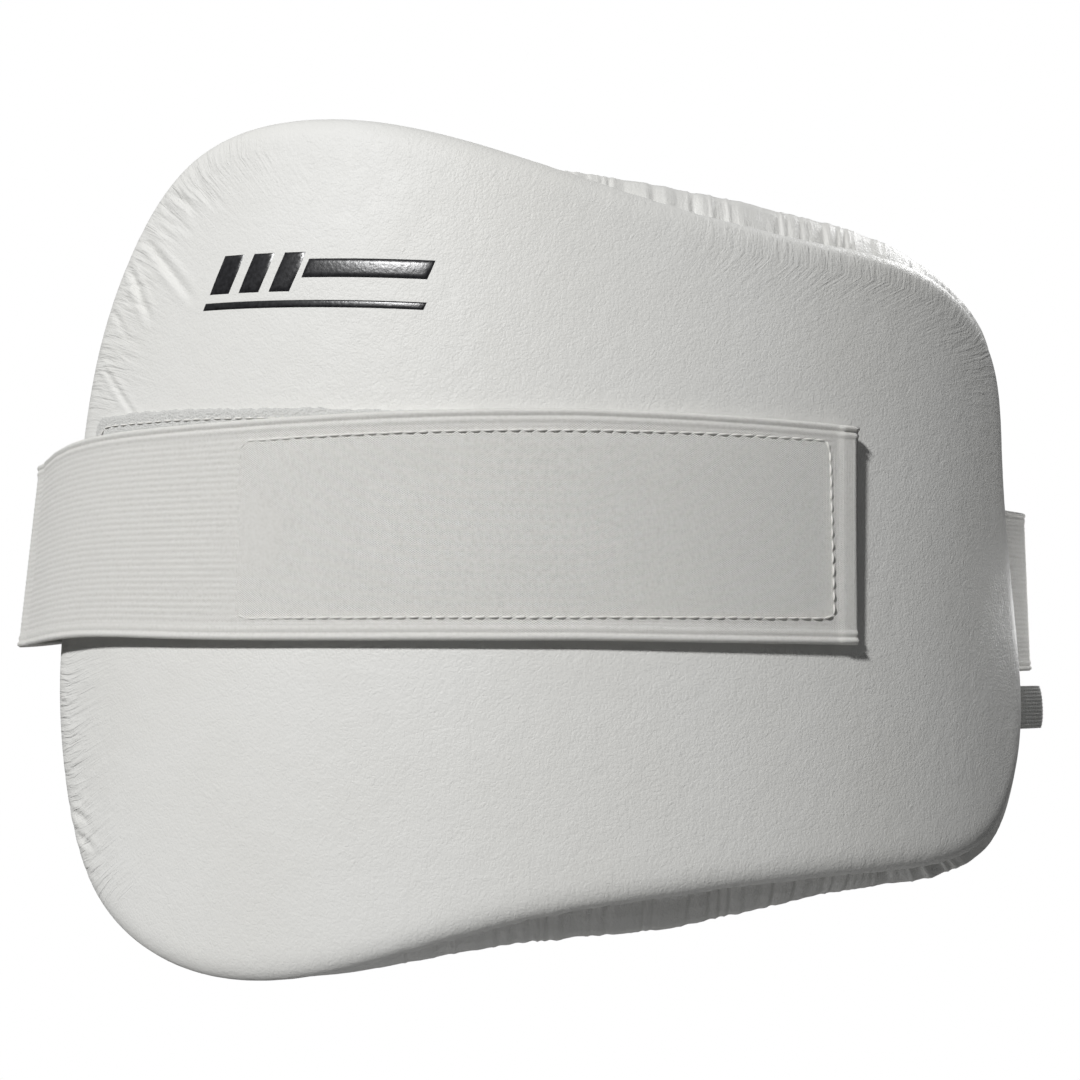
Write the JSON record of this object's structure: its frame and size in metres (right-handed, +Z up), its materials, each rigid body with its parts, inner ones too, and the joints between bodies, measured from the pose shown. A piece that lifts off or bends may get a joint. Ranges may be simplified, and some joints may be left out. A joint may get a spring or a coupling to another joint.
{
  "type": "cricket chest guard",
  "caption": "Curved moulded chest pad with a white leather-look facing, foam core and one wide elastic strap that closes on the front with hook-and-loop tape",
  "frame": {"origin": "middle of the pad's hollow back, where it rests on the breastbone", "axes": "X across the chest, +Y out of the back towards the wearer, -Y out of the struck face, +Z up as worn"},
  "size_m": [0.3763, 0.1498, 0.2576],
  "materials": {
    "facing_leather": "white polyurethane leather with a fine grain, satin",
    "lining_mesh": "charcoal knitted lining, matte",
    "soft_foam": "soft open-cell foam",
    "firm_foam": "firm closed-cell foam",
    "plate_plastic": "translucent white polyethylene sheet",
    "thread": "white sewing thread",
    "mark_ink": "black ink pressed into the facing",
    "loop_fleece": "white loop fleece",
    "elastic_webbing": "white knitted elastic with fine ribs along its length",
    "hook_tape": "white nylon hook tape",
    "label_ribbon": "white woven ribbon with faint grey lines"
  },
  "bodies": {
    "pad": {"front_facing": "facing_leather", "back_lining": "lining_mesh", "comfort_foam": "soft_foam", "impact_foam": "firm_foam", "impact_plate": "plate_plastic", "rim_stitching": "thread", "face_mark": "mark_ink", "loop_patch": "loop_fleece", "loop_patch_stitching": "thread", "anchor_patch": "facing_leather", "strap_root": "elastic_webbing", "strap_root_stitching": "thread"},
    "strap_rear": {"strap_rear_run": "elastic_webbing"},
    "strap_front": {"strap_front_run": "elastic_webbing", "hook_patch": "hook_tape", "hook_patch_stitching": "thread"},
    "label": {"size_label": "label_ribbon"}
  },
  "joints": [
    {"name": "strap_swing", "type": "hinge", "parent": "pad", "child": "strap_rear", "pos_m": [0.19976, 0.1166, -0.012], "axis": [0, 0, -1], "range_deg": [0, 13]},
    {"name": "strap_open", "type": "hinge", "parent": "strap_rear", "child": "strap_front", "pos_m": [-0.17684, 0.05207, 0], "axis": [0, 0, -1], "range_deg": [0, 156]},
    {"name": "label_flip", "type": "hinge", "parent": "pad", "child": "label", "pos_m": [0.1825, 0.0965, -0.057], "axis": [0, 0, 1], "range_deg": [-30, 40]}
  ],
  "couplings": [
    {"joint": "strap_swing", "follows": "strap_open", "ratio": 0.083333}
  ]
}
